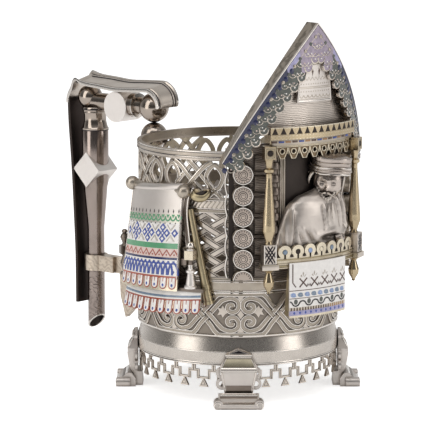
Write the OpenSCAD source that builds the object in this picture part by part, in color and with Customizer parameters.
// Tea glass holder in silver: a pierced cup on four bracket feet. A log-house window with a bust
// looks out at the front right, an embroidered towel on a stand hangs at the front left, and the
// handle at the back left is built of turned rods, a strap and an axe.
// Millimetres, +Z up. The origin is on the standing plane, on the axis of the glass. Angles round
// that axis start at -Y and grow towards +X.

/* [Cup] */
// Diameter of the bore that takes the tea glass
bore_d = 70; // [66:0.5:74]
// Thickness of the pierced wall
wall_t = 1.2; // [1:0.1:1.6]
// How far the plain bands stand proud of the wall
band_relief = 0.4; // [0.3:0.1:0.8]
// Height of the plain rim band
rim_h = 2.6; // [2:0.2:4]
// Height of the upper frieze of woven straps
upper_frieze_h = 14.5; // [13:0.5:18]
// Height of the hatched belt
belt_h = 3.4; // [2.6:0.2:5]
// Height of the lattice
lattice_h = 25.4; // [24:0.2:28]
// Height of the plain rail
rail_h = 3.8; // [3:0.2:5]
// Height of the lower frieze of scrolls
lower_frieze_h = 16.4; // [15:0.2:18]
// Thickness of the plate that the glass stands on
seat_t = 1.5; // [1:0.1:2.5]
// Depth of the solder groove in the wall round that plate
seat_groove = 0.5; // [0.3:0.1:0.8]
// Diameter of the hole in the middle of that plate
seat_hole_d = 34; // [20:1:44]

/* [Foot] */
// Height of the hollow moulding over the foot band
cove_h = 5.2; // [4:0.2:7]
// How far the hollow moulding draws in at its top
cove_in = 1.4; // [0.8:0.1:1.8]
// Height of the flat foot band
foot_band_h = 4.5; // [3.5:0.1:6]
// Clear height under the foot band
leg_h = 14.7; // [13:0.1:18]
// Half the width of a foot at its widest
foot_half_w = 6.6; // [5.5:0.1:7.5]
// Half the width of a toe
toe_half_w = 7.2; // [6:0.1:8]
// How far a toe reaches out from the foot band
toe_reach = 7.9; // [6:0.1:9]
// Depth of the fringe under the foot band
fringe_h = 8.6; // [7:0.1:9.5]
// Number of pendants in the fringe
fringe_n = 30; // [20:1:36]

/* [Handle] */
// Angle of the handle
handle_az = -132; // [-150:1:-125]
// Distance from the cup's bands to the upright post
post_out = 36.3; // [32:0.1:44]
// Radius of the upright post at its thickest
post_r = 5.1; // [4.2:0.1:5.6]
// Height of the axis of the cross arm over the rim
arm_rise = 8.2; // [7.4:0.1:12]
// Radius of the ball at the top of the post
corner_ball_r = 4.7; // [4:0.1:5.5]
// Radius of the ball at the cup end of the arm
arm_ball_r = 5.6; // [5:0.1:6.5]
// Radius of the ball on the rim
rim_ball_r = 5; // [4:0.1:5.6]
// Radius of the peg through the arm
peg_r = 5.75; // [4.8:0.05:6.2]
// Side of the square bar through the post
bar_side = 9.6; // [8.6:0.1:11]
// Width of the strap
strap_w = 10.8; // [8:0.1:12]
// Thickness of the strap
strap_t = 1; // [0.8:0.1:1.4]

/* [Towel] */
// Angle of the middle of the upper towel
towel_az = -49; // [-53:1:-46]
// Half the angle that the upper towel spans
towel_half_angle = 20; // [16:0.5:20.5]
// Height of the upper towel
towel_h = 35.6; // [34:0.1:36.5]
// Thickness of the towel sheets
towel_t = 1; // [0.8:0.1:1.2]
// Height of the lower tier of the towel
tier_h = 10; // [7:0.1:12]

/* [Window] */
// Angle of the middle of the window
bay_az = 39.5; // [36:0.5:42]
// Half the angle that the log wall spans
bay_half_angle = 45; // [44:0.5:47]
// Height of one log
log_pitch = 7.45; // [7:0.05:7.6]
// Distance from the cup's bands to the columns
column_out = 8.7; // [8.6:0.1:10.4]
// Angle from the middle of the window to a column
column_angle = 26.3; // [25.8:0.1:27]
// Height of the balcony floor over the rail
balcony_rise = 5.7; // [4:0.1:7]
// Height of a column's base block
block_h = 7; // [5:0.1:8]
// Height of a column's shaft
shaft_h = 29.8; // [28:0.1:33]
// Height of a column's capital block
cap_h = 4.5; // [3.5:0.1:5.5]
// Height of the embroidered cloth over the balcony
cloth_h = 19.6; // [15:0.1:20]

/* [Gable] */
// How far the gable reaches past the log wall, an angle
gable_over_angle = 1; // [0.5:0.5:3]
// Height of the gable from its low corners to its tip
gable_h = 47.9; // [46:0.1:52]
// How far the gable boards' front lies behind the columns' axis
gable_in = 0.9; // [0.5:0.1:1.2]
// Thickness of the gable boards
board_t = 1.1; // [0.8:0.1:1.2]
// Height of a gable board, measured upright
board_depth = 12.8; // [11:0.1:14]
// Number of lobes along a gable board
lobe_n = 11; // [7:1:13]

/* [Hidden] */
$fn = 64;
over = 0.5;
gap = 0.1;
loose = 0.3;
facet_fn = 32;

// Levels and radii of the cup
bore_r = bore_d / 2;
wall_r = bore_r + wall_t;
band_r = wall_r + band_relief;
band_z = leg_h;
cove_z = band_z + foot_band_h;
lower_z = cove_z + cove_h;
rail_z = lower_z + lower_frieze_h;
lattice_z = rail_z + rail_h;
belt_z = lattice_z + lattice_h;
upper_z = belt_z + belt_h;
rim_z = upper_z + upper_frieze_h;
top_z = rim_z + rim_h;
lining_t = 3.1;
post_reach = band_r + post_out;
column_reach = band_r + column_out;
gable_r = column_reach - gable_in;
gable_half_angle = bay_half_angle + gable_over_angle;

// Piercing of the upper frieze: two arches beside a crossing of straps in each repeat
weave_n = 9;
weave_az = -27;
arch_r = 2.4;
arch_rise = 1.8;
lozenge_w = 2.6;
lozenge_h = 3.4;
drop_r = 0.9;
drop_side = 2.6;
drop_fall = 3.4;

// Piercing of the lattice
lattice_n = 24;
lattice_rows = 8;
lattice_edge = 1.3;
lens_w = 4.2;
lens_h = 2.3;

// Piercing of the lower frieze: four eyes of scrolls round a lozenge, and two spandrels, in each repeat
scroll_n = 9;
scroll_az = 1.1;
eye_r = 1.2;
eye_side = 3.4;
eye_rise = 3;
spandrel_w = 2.2;
spandrel_h = 2.6;
spandrel_rise = 5.6;

// Fringe: a key-shaped fret with a triangle between each two stems
fringe_t = 0.8;
fringe_gap = 0.4;
fringe_strip_h = 0.7;
fringe_az = -2.3;
stem_w = 1.3;
stem_h = 2.3;
fret_w = 4.3;
fret_bar = 0.9;
leg_drop = 5.8;
pendant_w = 3.3;

// Feet
foot_angles = [0, 90, 180, 270];
pediment_half = 4.7;
pediment_rise = 1.7;
pediment_top = cove_z + pediment_rise;
eave_drop = 0.7;
pediment_eave = cove_z - eave_drop;
foot_waist = 4.9;
foot_bulge = 3.5;
bulge_drop = 0.7;
bulge_z = band_z - bulge_drop;
recess_in = 1.4;
recess_z = 4.4;
toe_h = 5.1;
toe_lip = 1.8;
heel_in = 1.9;
heel_h = 5.2;
toe_roll_r = 1.7;
ear_r = 2.1;
ear_hole_r = 1;
ear_t = 0.9;
ear_side = 6;
ear_low = 4;

// Handle
arm_z = top_z + arm_rise;
corner_ball_out = 2.5;
corner_ball_rise = 1.4;
corner_ball_z = arm_z + corner_ball_rise;
arm_ball_z = arm_z - gap;
rim_ball_z = arm_ball_z - arm_ball_r - rim_ball_r;
rim_ball_reach = band_r + rim_ball_r + loose;
lug_r = 2.4;
arm_r = 3.3;
bead_r = 4.5;
bead_w = 2.6;
bead_out = 8;
peg_share = 0.513;
peg_reach = rim_ball_reach + peg_share * (post_reach - rim_ball_reach);
peg_front = 4.7;
peg_back = 5.6;
bar_drop = 26.1;
bar_z = arm_z - bar_drop;
bar_half = 5.1;
tenon_r = 1.8;
post_sink = 1;
post_top = corner_ball_z - corner_ball_r + post_sink;
eye_drop = 7.3;
eye_z = rail_z - eye_drop;
post_tail = 23.7;
post_foot = eye_z - post_tail;
post_low_r = 3.25;
tube_bore_r = 2.4;
tube_depth = 16;
scarf_angle = 40;
neck_r = 3.9;
collar_r = 4.7;
neck_h = 3.4;
collar_h = 2.6;
taper_drop = 6.6;
taper_h = 16;
taper_top = bar_z - taper_drop;
taper_foot = taper_top - taper_h;
strap_back = 6.7;
strap_end_reach = rim_ball_reach - strap_back;
strap_out = 10.1;
strap_out_reach = post_reach + strap_out;
strap_tail = 13;
strap_foot = eye_z - strap_tail;
strap_steps = 8;
strap_end_angle = 160;

// Axe: its eye goes round the post and its edge stands against the plain rail
eye_h = 6;
eye_wall = 1.1;
blade_t = 2.4;
cheek_t = 5;
cheek_len = 8.9;
cheek_reach = post_reach - cheek_len;
beard_in = 16.7;
beard_reach = post_reach - beard_in;
beard_h = 16.5;
beard_z = eye_z - beard_h;
strap_bar_reach = post_reach + bar_side / sqrt(2) + strap_t / 2 + gap;
strap_low_reach = post_reach + post_low_r + eye_wall + strap_t / 2 + 2 * gap;

// Towel stand
rod_r = 1.2;
rod_reach = band_r + rod_r + gap;
rod_over = 0.4;
rod_half = rod_reach * tan(towel_half_angle) + rod_over;
rod_ball_r = 2.5;
towel_drop = 0.4;
towel_rise = 6.4;
towel_top_z = belt_z + towel_rise;
towel_top_r = band_r + 2 * rod_r + loose;
towel_flare = 4.7;
shelf_t = 1.2;
shelf_out = 6.6;
shelf_reach = band_r + shelf_out;
shelf_rise = 0.6;
shelf_z = rail_z + shelf_rise;
stand_in = 0.7;
stand_reach = shelf_reach - stand_in;
stand_half_angle = 25.5;
shelf_low_angle = 28.5;
shelf_high_angle = 32;
tier_shift_angle = 5.5;
tier_az = towel_az + tier_shift_angle;
tier_half_angle = 25.5;
tier_in = 1.6;
tier_r = shelf_reach - tier_in;
tier_flare = 2;
stand_block = 3.4;
stand_block_z = 7.6;
stand_block_h = 3;
stand_post_h = 16.6;
stand_r = 1.65;
stand_bar_t = 1.4;
stand_bar_h = 2.2;
staff_top_off_angle = 65.9;
staff_top_az = bay_az - staff_top_off_angle;
staff_low_off_angle = 55.3;
staff_low_az = bay_az - staff_low_off_angle;
staff_top_r = 0.95;
staff_low_r = 1.4;
staff_tail = 4.2;
staff_low_z = rail_z - staff_tail;
hook_r = 3.2;
hook_lap = 0.4;
hook_az = towel_az + atan(rod_half / rod_reach) + asin((rod_ball_r + hook_r - hook_lap) / rod_reach);
hook_bore = 1.4;
hook_t = 2;

// Window bay
bay_in = band_r + gap;
bay_t = 1.3;
bay_out = bay_in + bay_t;
bay_rise = 1.2;
bay_z = lattice_z + bay_rise;
log_n = 6;
log_bulge = 2;
log_from_angle = 21.5;
log_to_angle = 31.5;
log_end_angle = 37.5;
log_end_r = 3.62;
log_end_len = 4;
log_end_out = bay_out + log_end_len;
frame_half_angle = 20.8;
frame_in_angle = 14.6;
frame_t = 1.7;
curtain_in_angle = 8.6;
curtain_t = 1;
floor_z = lattice_z + balcony_rise;
floor_t = 1.9;
floor_top = floor_z + floor_t;
floor_out = 0.6;
floor_r = column_reach + floor_out;
floor_half_angle = 23.4;
floor_in_half_angle = 21;
block_w = 4.6;
plate_w = 5.6;
shaft_z = floor_top + block_h;
cap_z = shaft_z + shaft_h;
cap_w = 4;
cap_hole_r = 1.1;
shaft_r = 2.3;
drop_h = 8.9;
urn_r = 1.95;
rail_t = 1;
rail_base_h = 2;
rail_ring_n = 7;
rail_ring_angle = 6.3;
rail_ring_r = 2.35;
rail_hole_r = 0.95;
rail_slit_w = 0.7;
cloth_t = 0.8;
cloth_from_angle = -17.4;
cloth_to_angle = 14.4;
cloth_side_angle = 1.2;
cloth_hem_angle = 0.3;
cloth_tuck = 0.3;
strip_z = cap_z + cap_h;
strip_h = 2;
ledge_z = strip_z + strip_h;
ledge_h = 1.6;
strip_in = 0.2;
strip_r = gable_r - strip_in;
ledge_out = 1.2;
ledge_r = strip_r + ledge_out;
cornice_half_angle = 25.6;
crenel_z = ledge_z + ledge_h;
crenel_n = 13;
crenel_h = 2.1;
crenel_base = 0.6;
crenel_t = 0.9;
crenel_out = 0.3;
crenel_r = strip_r + crenel_out;
valance_h = 4.8;
valance_t = 0.8;
valance_r = strip_r - valance_t;
valance_n = 8;
valance_rail = 1.4;
valance_half_angle = 22.6;

// Gable
low_drop = 3;
low_z = top_z - low_drop;
tip_z = low_z + gable_h;
gable_turn_angle = 1.2;
gable_az = bay_az - gable_turn_angle;
gable_bow_share = 0.23;
roof_spread_share = 1.06;
roof_in = bay_out + gap;
roof_t = 2.2;
roof_steps = 18;
board_back = gable_r - board_t;
board_end_angle = 6.2;
board_end_drop = 5;
lobe_r = 1.9;
edge_steps = 6;
plank_in = 3.1;
plank_r = board_back - plank_in;
plank_t = 1;
carved_t = 1;
carved_half = 7.8;
carved_tuck = 2.7;
carved_h = 17.4;

// Bust: its places are the distance to the side, as a part of its width, and the height over the
// balcony floor, as a part of the height up to the capitals
bust_in = 4.3;
bust_reach = column_reach - bust_in;
bust_back = bay_out + frame_t + gap;
bust_w = 26;
bust_h = cap_z - floor_top;
chest_r = 3.4;
throat_r = 2.9;
head_r = 4.1;
hat_r = 4.7;
hat_h = 6.6;
hat_drop = 5.2;
hat_z = cap_z - hat_drop;
neck_share = 0.6;
neck_z = floor_top + neck_share * bust_h;
elbow_left_share = [-0.35, 0.18];
elbow_right_share = [0.65, 0.18];
shoulder_left_share = [-0.14, 0.42];
shoulder_right_share = [0.5, 0.44];
waist_share = [0.15, 0];
collar_share = [0.17, 0.46];
neck_top_share = [0.21, 0.62];
chin_share = [0.22, 0.645];
cheek_share = [0.25, 0.715];
crown_share = [0.28, 0.8];
hat_share = 0.285;

// A point at distance r from the axis, at angle a
function polar(r, a, z) = [r * sin(a), -r * cos(a), z];

// Values that step evenly from a to b
function steps(a, b, n) = [for (i = [0:n]) a + (b - a) * i / n];

// The height of the gable's outer edge at angle a from its middle
// Height of the gable's edge at an angle from its middle: a little steeper lower down
function edge_z(a) =
    let (t = abs(a) / gable_half_angle)
    tip_z - gable_h * t * (1 - gable_bow_share + gable_bow_share * t);
// The angle at which that edge is lower than the tip by a drop
function edge_angle(drop) =
    let (straight = (1 - gable_bow_share) / gable_bow_share / 2)
    gable_half_angle * (sqrt(straight * straight + drop / gable_h / gable_bow_share) - straight);

module at(a, r, z) {
    rotate([0, 0, a])
        translate([0, -r, z])
            children();
}

module ring(r0, r1, z0, z1) {
    rotate_extrude()
        polygon([[r0, z0], [r1, z0], [r1, z1], [r0, z1]]);
}

module sector(r0, r1, z0, z1, a0, a1) {
    rotate([0, 0, a0 - 90])
        rotate_extrude(angle = a1 - a0)
            polygon([[r0, z0], [r1, z0], [r1, z1], [r0, z1]]);
}

// A flared sheet, of radius r0 inside at its foot and r1 inside at its top
module flared(r0, r1, t, z0, z1, a0, a1) {
    rotate([0, 0, a0 - 90])
        rotate_extrude(angle = a1 - a0)
            polygon([[r0, z0], [r0 + t, z0], [r1 + t, z1], [r1, z1]]);
}

// A round bar from point p to point q
module round_bar(p, q, r0, r1) {
    v = q - p;
    translate(p)
        rotate([0, acos(v[2] / norm(v)), atan2(v[1], v[0])])
            cylinder(h = norm(v), r1 = r0, r2 = r1);
}

// A flat outline, drawn upright and seen from outside, cut radially through the wall
module outward(r0, r1) {
    rotate([90, 0, 0])
        translate([0, 0, r0])
            linear_extrude(height = r1 - r0)
                children();
}

// A flat outline bent round the axis, between the radii r0 and r1
module wrapped(r0, r1, z0, z1, a0, a1) {
    intersection() {
        sector(r0, r1, z0, z1, a0, a1);
        outward(0, r1 + over)
            children();
    }
}

// A turned piece: shares are pairs of radius and height, as parts of r and h
module turned(shares, r, h) {
    rotate_extrude()
        polygon(concat([[0, 0]], [for (s = shares) [s[0] * r, s[1] * h]], [[0, h]]));
}

module lozenge(w, h) {
    polygon([[-w / 2, 0], [0, -h / 2], [w / 2, 0], [0, h / 2]]);
}

module glass_seat() {
    color("silver")
        ring(seat_hole_d / 2, bore_r - gap, lower_z, lower_z + seat_t);
}

module lower_frieze() {
    mid_z = lower_z + lower_frieze_h / 2;
    color("lightgray")
        difference() {
            ring(bore_r, wall_r, lower_z, rail_z);
            ring(bore_r - over, bore_r + seat_groove, lower_z - over, lower_z + seat_t);
            for (i = [1:scroll_n])
                rotate([0, 0, scroll_az + i * 360 / scroll_n])
                    translate([0, 0, mid_z])
                        outward(bore_r - over, wall_r + over) {
                            for (sx = [-1, 1])
                                for (sz = [-1, 1])
                                    translate([sx * eye_side, sz * eye_rise])
                                        circle(r = eye_r);
                            for (z = [-spandrel_rise, 0, spandrel_rise])
                                translate([0, z])
                                    lozenge(spandrel_w, spandrel_h);
                        }
        }
}

module plain_rail() {
    color("silver")
        ring(bore_r, band_r, rail_z, lattice_z);
}

module lattice_wall() {
    row_h = (lattice_h - 2 * lattice_edge) / lattice_rows;
    color("lightgray")
        difference() {
            ring(bore_r, wall_r, lattice_z, belt_z);
            for (row = [0:lattice_rows - 1])
                for (i = [1:lattice_n])
                    rotate([0, 0, (i + (row % 2) / 2) * 360 / lattice_n])
                        translate([0, 0, lattice_z + lattice_edge + (row + 0.5) * row_h])
                            outward(bore_r - over, wall_r + over)
                                lozenge(lens_w, lens_h);
        }
}

module hatched_belt() {
    color("silver")
        ring(bore_r, band_r, belt_z, upper_z);
}

module upper_frieze() {
    mid_z = upper_z + upper_frieze_h / 2;
    color("lightgray")
        difference() {
            ring(bore_r, wall_r, upper_z, rim_z);
            for (i = [1:3 * weave_n])
                rotate([0, 0, weave_az + i * 120 / weave_n])
                    translate([0, 0, mid_z])
                        outward(bore_r - over, wall_r + over)
                            if (i % 3 == 0)
                                crossing_holes();
                            else
                                arch_holes();
        }
}

module crossing_holes() {
    for (side = [-1, 1]) {
        translate([0, side * upper_frieze_h / 3])
            lozenge(lozenge_w, lozenge_h);
        translate([side * lozenge_w, 0])
            lozenge(lozenge_w, lozenge_h);
    }
}

module arch_holes() {
    translate([0, arch_rise])
        circle(r = arch_r);
    for (side = [-1, 1])
        translate([side * drop_side, -drop_fall])
            circle(r = drop_r);
}

module rim_band() {
    color("silver")
        ring(bore_r, band_r, rim_z, top_z);
}

module base_moulding() {
    cove_r = band_r - cove_in;
    color("gainsboro")
        rotate_extrude()
            difference() {
                polygon([[bore_r - lining_t, band_z], [band_r, band_z], [band_r, cove_z],
                    [cove_r, lower_z], [bore_r - lining_t, lower_z]]);
                translate([band_r + cove_h - cove_in + cove_in / 2, lower_z - cove_h / 5])
                    circle(r = cove_h);
            }
}

module fringe_gallery() {
    fringe_r = band_r - fringe_gap;
    top = band_z - fringe_strip_h;
    pitch = 2 * PI * fringe_r / fringe_n;
    color("silver") {
        ring(fringe_r - fringe_t, fringe_r, top, band_z);
        intersection() {
            ring(fringe_r - fringe_t, fringe_r, band_z - fringe_h - over, top + gap);
            for (i = [1:fringe_n])
                rotate([0, 0, fringe_az + i * 360 / fringe_n])
                    translate([0, 0, band_z])
                        outward(fringe_r - 2 * fringe_t, fringe_r + fringe_t)
                            fret(pitch);
        }
    }
}

module fret(pitch) {
    translate([-stem_w / 2, -stem_h - gap])
        square([stem_w, stem_h + gap]);
    translate([-fret_w / 2, -stem_h - fret_bar])
        square([fret_w, fret_bar]);
    for (side = [0, 1])
        mirror([side, 0])
            translate([fret_w / 2 - fret_bar, -leg_drop])
                square([fret_bar, leg_drop - stem_h]);
    translate([fret_w / 2 - fret_bar / 2, -leg_drop + gap])
        square([pitch - fret_w + fret_bar, fret_bar * 0.8]);
    translate([pitch / 2, 0])
        polygon([[0, -leg_drop + fret_bar / 2], [pendant_w / 2, -fringe_h],
            [-pendant_w / 2, -fringe_h]]);
}

module foot_side_outline() {
    b = band_r + gap;
    polygon([[b, pediment_top], [b + foot_bulge / 3, pediment_top - gap * 5],
        [b + foot_bulge / 2, pediment_eave], [b + foot_bulge / 3, bulge_z + foot_bulge],
        [b + foot_bulge, bulge_z], [b + foot_bulge, bulge_z - foot_bulge / 2],
        [b + foot_bulge * 0.7, recess_z + recess_in], [b + recess_in, recess_z], [b + recess_in, 0],
        [b - heel_in, 0], [b - heel_in * 0.8, heel_h], [b, heel_h]]);
}

module foot_front_outline() {
    polygon([[0, pediment_top], [pediment_half, pediment_eave],
        [pediment_half, bulge_z + foot_bulge], [foot_half_w, bulge_z],
        [foot_half_w, bulge_z - foot_bulge / 3], [foot_waist, recess_z], [foot_waist, 0],
        [-foot_waist, 0], [-foot_waist, recess_z], [-foot_half_w, bulge_z - foot_bulge / 3],
        [-foot_half_w, bulge_z], [-pediment_half, bulge_z + foot_bulge],
        [-pediment_half, pediment_eave]]);
}

module toe_outline() {
    b = band_r + gap + recess_in / 2;
    reach = toe_reach - recess_in / 2;
    polygon([[b, 0], [b + reach * 0.85, 0], [b + reach, toe_lip * 0.4], [b + reach, toe_lip],
        [b + reach * 0.4, toe_h], [b + reach * 0.2, toe_h * 0.96], [b, toe_h * 0.6]]);
}

module foot(a) {
    color("darkgray")
        rotate([0, 0, a]) {
            intersection() {
                rotate([90, 0, -90])
                    translate([0, 0, -foot_half_w])
                        linear_extrude(height = 2 * foot_half_w)
                            foot_side_outline();
                outward(bore_r - heel_in - foot_bulge, band_r + 2 * foot_bulge)
                    foot_front_outline();
            }
            rotate([90, 0, -90])
                translate([0, 0, -toe_half_w])
                    linear_extrude(height = 2 * toe_half_w)
                        toe_outline();
            for (side = [-1, 1]) {
                translate([side * toe_half_w, 0, toe_roll_r + gap])
                    outward(band_r + gap + 2 * recess_in, band_r + toe_reach - gap)
                        circle(r = toe_roll_r);
                for (z = [bulge_z - ear_r, bulge_z - ear_r - ear_low])
                    translate([side * ear_side, 0, z])
                        outward(band_r + gap, band_r + gap + ear_t)
                            difference() {
                                circle(r = ear_r);
                                circle(r = ear_hole_r);
                            }
            }
        }
}

module post_outline() {
    polygon([[0, post_foot], [post_low_r, post_foot], [post_low_r, taper_foot],
        [post_r * 0.9, taper_top], [post_r, bar_z - bar_side / 2], [post_r, bar_z + bar_side],
        [post_r, post_top - collar_h - neck_h - gap], [post_r * 0.92, post_top - collar_h - neck_h],
        [neck_r, post_top - collar_h - neck_h * 0.5], [neck_r, post_top - collar_h],
        [collar_r, post_top - collar_h * 0.7], [collar_r, post_top - collar_h * 0.3],
        [collar_r - gap * 4, post_top], [0, post_top]]);
}

module handle_post() {
    color("dimgray") {
        at(handle_az, post_reach, bar_z - bar_side)
            cylinder(h = 2 * bar_side, r = tenon_r);
        difference() {
            at(handle_az, post_reach, 0)
                rotate_extrude()
                    post_outline();
            along_arm(post_reach - 2 * collar_r, post_reach + 2 * collar_r, arm_r + gap);
            at(handle_az, post_reach + corner_ball_out, corner_ball_z)
                sphere(r = corner_ball_r + gap);
            at(handle_az, post_reach, post_foot - over)
                cylinder(h = tube_depth + over, r = tube_bore_r);
            at(handle_az, post_reach, post_foot + post_low_r)
                rotate([-scarf_angle, 0, 0])
                    translate([-2 * post_r, -2 * post_r, -4 * post_r])
                        cube([4 * post_r, 4 * post_r, 4 * post_r]);
            bar_prism(gap);
        }
    }
}

// The square bar, turned on edge, across the plane of the handle
module bar_prism(extra) {
    at(handle_az, post_reach, bar_z)
        rotate([0, 90, 0])
            rotate([0, 0, 45])
                translate([-bar_side / 2 - extra, -bar_side / 2 - extra, -bar_half - extra])
                    cube([bar_side + 2 * extra, bar_side + 2 * extra, 2 * (bar_half + extra)]);
}

module square_bar() {
    color("silver")
        difference() {
            bar_prism(0);
            at(handle_az, post_reach, bar_z - bar_side)
                cylinder(h = 2 * bar_side, r = tenon_r + gap);
        }
}

module corner_ball() {
    color("dimgray")
        at(handle_az, post_reach + corner_ball_out, corner_ball_z)
            sphere(r = corner_ball_r);
}

// A turned rod with its axis along the arm, from the distance r0 to r1
module along_arm(r0, r1, r) {
    at(handle_az, r0, arm_z)
        rotate([90, 0, 0])
            cylinder(h = r1 - r0, r = r);
}

module cross_arm() {
    bead_reach = rim_ball_reach + bead_out;
    color("dimgray") {
        along_arm(peg_reach - 1.5 * peg_r, peg_reach + 1.5 * peg_r, tenon_r);
        difference() {
            union() {
                along_arm(rim_ball_reach, post_reach + corner_ball_out, arm_r);
                along_arm(bead_reach, bead_reach + bead_w, bead_r);
            }
            at(handle_az, rim_ball_reach, arm_ball_z)
                sphere(r = arm_ball_r + gap);
            at(handle_az, post_reach + corner_ball_out, corner_ball_z)
                sphere(r = corner_ball_r + gap);
            peg_rod(gap);
        }
    }
}

module peg_rod(extra) {
    at(handle_az, peg_reach, arm_z - arm_r / 4)
        rotate([0, 90, 0])
            translate([0, 0, -peg_back - extra])
                cylinder(h = peg_front + peg_back + 2 * extra, r = peg_r + extra);
}

module arm_peg() {
    color("silver")
        difference() {
            peg_rod(0);
            along_arm(peg_reach - 2 * peg_r, peg_reach + 2 * peg_r, tenon_r + gap);
        }
}

module arm_ball() {
    color("dimgray")
        at(handle_az, rim_ball_reach, arm_ball_z)
            sphere(r = arm_ball_r);
}

module rim_ball() {
    color("dimgray")
        difference() {
            union() {
                at(handle_az, rim_ball_reach, rim_ball_z)
                    sphere(r = rim_ball_r);
                at(handle_az, bore_r, rim_ball_z)
                    rotate([90, 0, 0])
                        cylinder(h = rim_ball_reach - bore_r, r = lug_r);
            }
            translate([0, 0, rim_ball_z - 2 * rim_ball_r])
                cylinder(h = 4 * rim_ball_r, r = band_r + gap);
        }
}

// The middle line of the strap, in the plane of the handle, as pairs of distance and height
function strap_line() =
    let (over_arm = arm_ball_z + arm_ball_r + strap_t,
        over_post = corner_ball_z + corner_ball_r + strap_t / 2 + gap,
        bend = strap_out_reach - post_reach - corner_ball_out,
        middle = post_reach + corner_ball_out)
    concat([[strap_end_reach, arm_ball_z]],
        [for (t = steps(strap_end_angle, 90, strap_steps))
            [rim_ball_reach + (arm_ball_r + strap_t) * cos(t),
             arm_ball_z + (arm_ball_r + strap_t) * sin(t)]],
        [[(rim_ball_reach + middle) / 2, (over_arm + over_post) / 2]],
        [for (t = steps(90, 0, strap_steps))
            [middle + bend * sin(90 - t), over_post - bend + bend * cos(90 - t)]],
        [[strap_bar_reach, bar_z], [strap_low_reach, eye_z + eye_h], [strap_low_reach, strap_foot]]);

// The points of a line moved sideways by d
function beside(line, d) = [for (i = [0:len(line) - 1])
    let (p = line[max(i - 1, 0)],
        q = line[min(i + 1, len(line) - 1)],
        v = (q - p) / norm(q - p))
    line[i] + d * [-v[1], v[0]]];

module strap() {
    line = strap_line();
    color("gray")
        at(handle_az, 0, 0)
            rotate([90, 0, -90])
                translate([0, 0, -strap_w / 2])
                    linear_extrude(height = strap_w)
                        polygon(concat(beside(line, strap_t / 2),
                            [for (i = [len(line) - 1:-1:0]) beside(line, -strap_t / 2)[i]]));
}

module axe_outline() {
    edge = band_r - over;
    polygon([[cheek_reach, eye_z + eye_h], [cheek_reach, eye_z], [cheek_reach - 2 * blade_t, eye_z],
        [(cheek_reach + 2 * beard_reach) / 3, (eye_z + beard_z) / 2], [beard_reach, beard_z],
        [beard_reach - 2 * blade_t, eye_z - 2 * eye_h + gap],
        [(beard_reach + edge) / 2, eye_z - eye_h / 3], [edge, rail_z - blade_t / 2],
        [edge, lattice_z - blade_t / 2], [beard_reach, eye_z + eye_h + blade_t / 3]]);
}

module axe_head() {
    color("silver")
        difference() {
            union() {
                at(handle_az, 0, 0)
                    rotate([90, 0, -90])
                        translate([0, 0, -blade_t / 2])
                            linear_extrude(height = blade_t)
                                axe_outline();
                at(handle_az, post_reach, eye_z)
                    cylinder(h = eye_h, r = post_low_r + gap + eye_wall);
                at(handle_az, post_reach, eye_z)
                    translate([-cheek_t / 2, 0, 0])
                        cube([cheek_t, post_reach - cheek_reach + blade_t, eye_h]);
            }
            at(handle_az, post_reach, eye_z - over)
                cylinder(h = eye_h + 2 * over, r = post_low_r + gap);
            translate([0, 0, rail_z - 2 * eye_h])
                cylinder(h = 4 * eye_h, r = band_r + gap);
        }
}

module towel_rod() {
    color("silver")
        at(towel_az, rod_reach, towel_top_z) {
            rotate([0, 90, 0])
                translate([0, 0, -rod_half])
                    cylinder(h = 2 * rod_half, r = rod_r);
            for (side = [-1, 1])
                translate([side * rod_half, 0, 0])
                    sphere(r = rod_ball_r);
        }
}

module towel_upper() {
    color("white")
        difference() {
            flared(towel_top_r + towel_flare, towel_top_r, towel_t, towel_top_z - towel_h,
                towel_top_z + towel_drop, towel_az - towel_half_angle, towel_az + towel_half_angle);
            at(towel_az, rod_reach, towel_top_z)
                rotate([0, 90, 0])
                    translate([0, 0, -2 * rod_half])
                        cylinder(h = 4 * rod_half, r = rod_r + gap);
        }
}

module towel_lower() {
    color("white")
        flared(tier_r + tier_flare, tier_r, towel_t, shelf_z - tier_h, shelf_z - gap,
            tier_az - tier_half_angle, tier_az + tier_half_angle);
}

module stand_shelf() {
    color("silver")
        sector(band_r + gap, shelf_reach, shelf_z, shelf_z + shelf_t, towel_az - shelf_low_angle,
            towel_az + shelf_high_angle);
}

module stand_bar() {
    bar_end = stand_half_angle - asin((stand_block / 2 + gap) / stand_reach);
    z = shelf_z + shelf_t + stand_block_z + (stand_block_h - stand_bar_h) / 2;
    bar_in = stand_reach - stand_bar_t - loose;
    color("silver") {
        sector(bar_in, bar_in + stand_bar_t, z, z + stand_bar_h, towel_az - bar_end,
            towel_az + bar_end);
        for (side = [-1, 1])
            sector(wall_r + gap, bar_in, z, z + stand_bar_h,
                towel_az + side * bar_end / 2 - stand_bar_h / 2,
                towel_az + side * bar_end / 2 + stand_bar_h / 2);
    }
}

lower_turn_shares = [[1, 0], [1, 0.1], [0.5, 0.16], [0.6, 0.3], [1, 0.55], [0.6, 0.8], [0.5, 0.9],
    [0.9, 1]];
finial_shares = [[0.9, 0], [0.5, 0.12], [0.6, 0.25], [1, 0.5], [0.7, 0.68], [0.45, 0.74], [0.7, 0.86],
    [0.4, 0.97]];

module stand_post(side) {
    block_top = stand_block_z + stand_block_h;
    color("silver")
        at(towel_az + side * stand_half_angle, stand_reach, shelf_z + shelf_t) {
            turned(lower_turn_shares, stand_r, stand_block_z);
            translate([-stand_block / 2, -stand_block / 2, stand_block_z])
                cube([stand_block, stand_block, stand_block_h]);
            translate([0, 0, block_top])
                turned(finial_shares, stand_r, stand_post_h - block_top);
        }
}

module gilt_staff() {
    color("darkkhaki")
        round_bar(polar(band_r + staff_low_r + gap, staff_low_az, staff_low_z),
            polar(band_r + staff_low_r, staff_top_az, belt_z), staff_low_r, staff_top_r);
}

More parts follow.
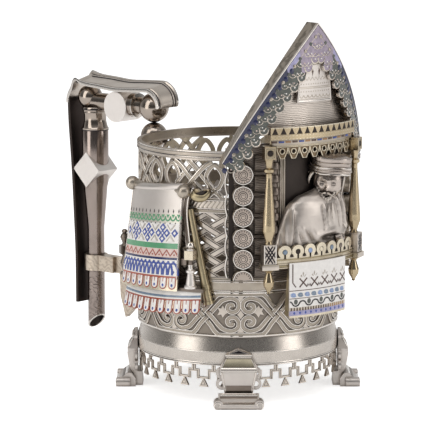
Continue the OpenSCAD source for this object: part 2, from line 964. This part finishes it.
module gilt_hook() {
    color("goldenrod")
        at(hook_az, 0, upper_z + hook_r)
            outward(band_r + gap, band_r + gap + hook_t)
                difference() {
                    circle(r = hook_r);
                    translate([0, hook_bore])
                        circle(r = hook_bore);
                    translate([-hook_r, hook_bore / 2])
                        square([2 * hook_r, hook_r]);
                }
}

module log_wall() {
    wall_top = strip_z;
    color("dimgray")
        rotate([0, 0, bay_az]) {
            sector(bay_in, bay_out, bay_z, wall_top, -bay_half_angle, bay_half_angle);
            for (side = [0, 1])
                mirror([side, 0, 0])
                    for (i = [0:log_n - 1])
                        log_course(bay_z + (i + 0.5) * log_pitch);
        }
}

// One log: a round bar bent round the axis, with its inner part cut away
module log_course(z) {
    log_r = log_pitch / 2 - gap / 2;
    rotate([0, 0, log_from_angle - 90])
        rotate_extrude(angle = log_to_angle - log_from_angle)
            intersection() {
                translate([bay_out + log_bulge - log_r, z])
                    circle(r = log_r);
                translate([bay_out - gap, z - log_r])
                    square([log_bulge + gap, 2 * log_r]);
            }
}

module log_ends(side) {
    color("lightgray")
        rotate([0, 0, bay_az + side * log_end_angle])
            intersection() {
                for (i = [0:log_n - 1])
                    translate([0, 0, bay_z + i * log_pitch])
                        outward(bay_in, log_end_out)
                            rotate(22.5)
                                circle(r = log_end_r, $fn = 8);
                sector(bay_out + gap, log_end_out, bay_z, rim_z, -10, 10);
            }
}

module window_frame() {
    frame_z = floor_top + gap;
    frame_top = strip_z - gap;
    color("gray")
        rotate([0, 0, bay_az])
            difference() {
                sector(bay_out + gap, bay_out + frame_t, frame_z, frame_top, -frame_half_angle,
                    frame_half_angle);
                sector(bay_in, bay_out + 2 * frame_t, frame_z + frame_t, frame_top - 2 * frame_t,
                    -frame_in_angle, frame_in_angle);
            }
}

module curtains() {
    z0 = floor_top + frame_t + 2 * gap;
    z1 = strip_z - 2 * frame_t - 2 * gap;
    color("silver")
        rotate([0, 0, bay_az])
            for (side = [0, 1])
                mirror([side, 0, 0])
                    sector(bay_out + gap, bay_out + curtain_t, z0, z1, curtain_in_angle,
                        frame_in_angle - gap);
}

// A ball on the bust
module blob(share, r) {
    x = share[0] * bust_w;
    translate([x, -sqrt(bust_reach * bust_reach - x * x), floor_top + share[1] * bust_h])
        sphere(r = r, $fn = facet_fn);
}

module bust_body() {
    color("silver")
        difference() {
            rotate([0, 0, bay_az]) {
                hull() {
                    blob(elbow_left_share, chest_r);
                    blob(elbow_right_share, chest_r);
                    blob(shoulder_left_share, chest_r);
                    blob(shoulder_right_share, chest_r);
                    blob(waist_share, chest_r);
                }
                hull() {
                    blob(collar_share, chest_r);
                    blob(neck_top_share, throat_r);
                }
            }
            translate([0, 0, floor_top - 2 * chest_r])
                cylinder(h = 2 * chest_r + gap, r = floor_r + chest_r);
            translate([0, 0, neck_z])
                cylinder(h = 2 * chest_r, r = floor_r + chest_r);
            ring(0, bust_back, floor_top - chest_r, strip_z);
        }
}

module bust_head() {
    color("silver")
        difference() {
            rotate([0, 0, bay_az])
                hull() {
                    blob(crown_share, head_r);
                    blob(cheek_share, head_r);
                    blob(chin_share, head_r * 0.7);
                }
            ring(0, bust_back, floor_top, strip_z);
            translate([0, 0, hat_z])
                cylinder(h = 4 * head_r, r = floor_r + over);
            translate([0, 0, floor_top])
                cylinder(h = neck_z + gap - floor_top, r = floor_r + over);
        }
}

hat_shares = [[0.95, 0], [1, 0.1], [1, 0.35], [0.93, 0.45], [0.97, 0.8], [0.8, 1]];

module bust_hat() {
    x = hat_share * bust_w;
    color("silver")
        difference() {
            rotate([0, 0, bay_az])
                translate([x, -sqrt(bust_reach * bust_reach - x * x), hat_z + gap])
                    turned(hat_shares, hat_r, hat_h);
            ring(0, bust_back, floor_top, strip_z);
            ring(valance_r - loose, 2 * valance_r, cap_z - 2 * valance_h, strip_z + valance_h);
        }
}

module balcony_floor() {
    color("silver")
        rotate([0, 0, bay_az]) {
            sector(bay_out + gap, floor_r, floor_z, floor_top, -floor_in_half_angle,
                floor_in_half_angle);
            sector(bay_out + log_bulge + gap, floor_r, floor_z, floor_top, -column_angle, column_angle);
            for (side = [-1, 1])
                at(side * column_angle, column_reach, floor_z)
                    translate([-plate_w / 2, -plate_w / 2, 0])
                        cube([plate_w, plate_w, floor_t]);
        }
}

module balcony_rail() {
    rail_out = floor_r - gap;
    ring_z = floor_top + rail_base_h + rail_ring_r - over;
    color("khaki")
        rotate([0, 0, bay_az])
            wrapped(rail_out - rail_t, rail_out, floor_top, ring_z + 2 * rail_ring_r, -floor_half_angle,
                floor_half_angle)
                difference() {
                    union() {
                        translate([-rail_out, floor_top])
                            square([2 * rail_out, rail_base_h]);
                        for (i = [0:rail_ring_n - 1])
                            translate([rail_x(i), ring_z])
                                circle(r = rail_ring_r);
                    }
                    for (i = [0:rail_ring_n - 1])
                        translate([rail_x(i), ring_z]) {
                            circle(r = rail_hole_r);
                            translate([-rail_slit_w / 2, -rail_ring_r])
                                square([rail_slit_w, rail_ring_r]);
                        }
                }
}

function rail_x(i) = floor_r * sin((i - (rail_ring_n - 1) / 2) * rail_ring_angle);

module balcony_cloth() {
    cloth_r = floor_r + gap;
    color("white")
        rotate([0, 0, bay_az]) {
            sector(cloth_r, cloth_r + cloth_t, floor_top - cloth_h, floor_top, cloth_from_angle,
                cloth_to_angle);
            for (a = [cloth_from_angle + cloth_hem_angle,
                cloth_to_angle - cloth_hem_angle - cloth_side_angle])
                sector(band_r + gap, cloth_r + cloth_t / 2, floor_top - cloth_h + cloth_tuck,
                    floor_z - gap, a, a + cloth_side_angle);
        }
}

shaft_shares = [[0.62, 0], [0.5, 0.03], [1, 0.15], [0.97, 0.22], [0.48, 0.78], [0.48, 0.83],
    [0.8, 0.85], [0.8, 0.88], [0.45, 0.9], [0.6, 0.97], [0.75, 1]];
urn_shares = [[0.7, 1], [0.9, 0.96], [0.5, 0.86], [1, 0.5], [0.9, 0.32], [0.3, 0.1], [0.35, 0.04]];

module column(side) {
    color("khaki")
        rotate([0, 0, bay_az])
            at(side * column_angle, column_reach, shaft_z)
                turned(shaft_shares, shaft_r, shaft_h);
}

module block(side) {
    color("khaki")
        rotate([0, 0, bay_az])
            at(side * column_angle, column_reach, floor_top)
                translate([-block_w / 2, -block_w / 2, 0])
                    cube([block_w, block_w, block_h]);
}

module pendant(side) {
    color("khaki")
        rotate([0, 0, bay_az])
            at(side * column_angle, column_reach, floor_z - drop_h)
                rotate_extrude()
                    polygon(concat([[0, drop_h]],
                        [for (s = urn_shares) [s[0] * urn_r, s[1] * drop_h]], [[0, 0]]));
}

module cap(side) {
    color("khaki")
        rotate([0, 0, bay_az])
            at(side * column_angle, column_reach, cap_z)
                difference() {
                    translate([-cap_w / 2, -cap_w / 2, 0])
                        cube([cap_w, cap_w, cap_h]);
                    translate([0, 0, cap_h / 2])
                        outward(-cap_w, cap_w)
                            circle(r = cap_hole_r);
                }
}

module cornice() {
    color("khaki")
        rotate([0, 0, bay_az]) {
            sector(bay_in, strip_r, strip_z, ledge_z, -cornice_half_angle, cornice_half_angle);
            sector(bay_in, ledge_r, ledge_z, crenel_z, -cornice_half_angle, cornice_half_angle);
        }
}

module crenels() {
    w = 2 * crenel_r * PI * (2 * cornice_half_angle / 360) / crenel_n;
    color("khaki")
        rotate([0, 0, bay_az])
            wrapped(crenel_r, crenel_r + crenel_t, crenel_z, crenel_z + crenel_h + crenel_base,
                -cornice_half_angle, cornice_half_angle) {
                translate([-crenel_r, crenel_z])
                    square([2 * crenel_r, crenel_base]);
                for (i = [0:crenel_n - 1]) {
                    a = cornice_half_angle * (2 * i + 1 - crenel_n) / crenel_n;
                    translate([crenel_r * sin(a), crenel_z + crenel_base])
                        polygon([[-w * cos(a) / 2, 0], [w * cos(a) / 2, 0], [0, crenel_h]]);
                }
            }
}

module valance() {
    w = 2 * valance_half_angle / valance_n;
    color("khaki")
        rotate([0, 0, bay_az]) {
            sector(valance_r, valance_r + valance_t, strip_z - valance_rail, strip_z,
                -valance_half_angle, valance_half_angle);
            for (i = [0:valance_n - 1])
                wrapped(valance_r, valance_r + valance_t, strip_z - valance_h,
                    strip_z - valance_rail / 2, -valance_half_angle, valance_half_angle)
                    difference() {
                        translate([valance_x(i), strip_z])
                            polygon([[-valance_w(i), -valance_rail], [-valance_w(i), 0],
                                [valance_w(i), 0], [valance_w(i), -valance_rail],
                                [valance_w(i) / 3, -valance_h - gap],
                                [-valance_w(i) / 3, -valance_h - gap]]);
                        translate([valance_x(i), strip_z - valance_rail - valance_w(i) / 3 - gap])
                            circle(r = valance_w(i) / 3);
                    }
        }
}

function valance_x(i) = valance_r * sin(valance_half_angle * (2 * i + 1 - valance_n) / valance_n);
function valance_w(i) = valance_r * PI * valance_half_angle / 180 / valance_n
    * cos(valance_half_angle * (2 * i + 1 - valance_n) / valance_n);

module plank_gable() {
    half = edge_angle(tip_z - roof_t - gap - crenel_z);
    color("gray")
        rotate([0, 0, gable_az])
            wrapped(plank_r, plank_r + plank_t, crenel_z, tip_z, -gable_half_angle, gable_half_angle)
                polygon(concat([for (a = steps(-half, 0, edge_steps))
                        [plank_r * sin(a), edge_z(a) - roof_t - gap]],
                    [for (a = steps(0, half, edge_steps))
                        [plank_r * sin(a), edge_z(a) - roof_t - gap]]));
}

// Half of the stepped outline of the carved towel, as parts of its half width and height
carved_shares = [[0.36, 1], [0.41, 0.83], [0.6, 0.8], [0.62, 0.64], [0.86, 0.6], [0.9, 0.5], [1, 0]];

module carved_towel() {
    base = edge_z(0) - board_depth - carved_h + carved_tuck;
    back = board_back - gap - carved_t;
    color("white")
        rotate([0, 0, gable_az])
            wrapped(back, back + carved_t, base - over, tip_z, -gable_half_angle, gable_half_angle)
                polygon(concat([for (s = carved_shares) [s[0] * carved_half, base + s[1] * carved_h]],
                    [for (i = [len(carved_shares) - 1:-1:0])
                        [-carved_shares[i][0] * carved_half, base + carved_shares[i][1] * carved_h]]));
}

module gable_board(side) {
    end_a = gable_half_angle - board_end_angle;
    low = edge_z(gable_half_angle) - board_end_drop;
    color("slateblue")
        rotate([0, 0, gable_az])
            mirror([side < 0 ? 1 : 0, 0, 0]) {
                wrapped(board_back, gable_r, low - lobe_r - over, tip_z + over, 0, gable_half_angle + 1)
                    polygon(concat([for (a = steps(0, gable_half_angle, edge_steps))
                            [gable_r * sin(a), edge_z(a)]],
                        [for (a = steps(end_a, 0, edge_steps))
                            [gable_r * sin(a), edge_z(a) - board_depth + lobe_r]]));
                for (i = [0:lobe_n - 1])
                    wrapped(board_back, gable_r, low - lobe_r - over, tip_z + over, 0,
                        gable_half_angle + 1)
                        translate([gable_r * sin(end_a * (i + 0.5) / lobe_n),
                            edge_z(end_a * (i + 0.5) / lobe_n) - board_depth + lobe_r])
                            circle(r = lobe_r);
            }
}

// A slab whose top follows the edge of the gable, and spreads a little more at the log wall
module roof(side) {
    n = roof_steps;
    angles = side * steps(0, gable_half_angle, n);
    r0 = roof_in;
    r1 = board_back - gap;
    points = [for (a = angles)
        for (c = [[r0, -roof_t], [r1, -roof_t], [r1, 0], [r0, 0]])
            polar(c[0], c[0] == r0 ? a * roof_spread_share : a, edge_z(a) + c[1])];
    sides = [for (i = [0:n - 1])
        for (k = [0:3])
            for (f = [[0, 1, 4], [1, 5, 4]])
                [for (v = f) 4 * i + (v >= 4 ? 4 : 0) + (k + v % 4) % 4]];
    ends = [[3, 2, 1], [3, 1, 0], [4 * n, 4 * n + 1, 4 * n + 2], [4 * n, 4 * n + 2, 4 * n + 3]];
    faces = concat(sides, ends);
    color("dimgray")
        rotate([0, 0, gable_az])
            polyhedron(points, side > 0 ? faces : [for (f = faces) [f[2], f[1], f[0]]]);
}

glass_seat();
lower_frieze();
plain_rail();
lattice_wall();
hatched_belt();
upper_frieze();
rim_band();
base_moulding();
fringe_gallery();
foot(foot_angles[0]);  // foot_front
foot(foot_angles[1]);  // foot_right
foot(foot_angles[2]);  // foot_back
foot(foot_angles[3]);  // foot_left
handle_post();
corner_ball();
square_bar();
cross_arm();
arm_peg();
arm_ball();
rim_ball();
strap();
axe_head();
towel_rod();
towel_upper();
towel_lower();
stand_shelf();
stand_bar();
stand_post(-1);  // stand_post_left
stand_post(1);  // stand_post_right
gilt_staff();
gilt_hook();
log_wall();
log_ends(-1);  // log_ends_left
log_ends(1);  // log_ends_right
window_frame();
curtains();
bust_body();
bust_head();
bust_hat();
balcony_floor();
balcony_rail();
balcony_cloth();
column(-1);  // column_left
column(1);  // column_right
block(-1);  // block_left
block(1);  // block_right
pendant(-1);  // pendant_left
pendant(1);  // pendant_right
cap(-1);  // cap_left
cap(1);  // cap_right
cornice();
crenels();
valance();
plank_gable();
carved_towel();
gable_board(-1);  // board_left
gable_board(1);  // board_right
roof(-1);  // roof_left
roof(1);  // roof_right
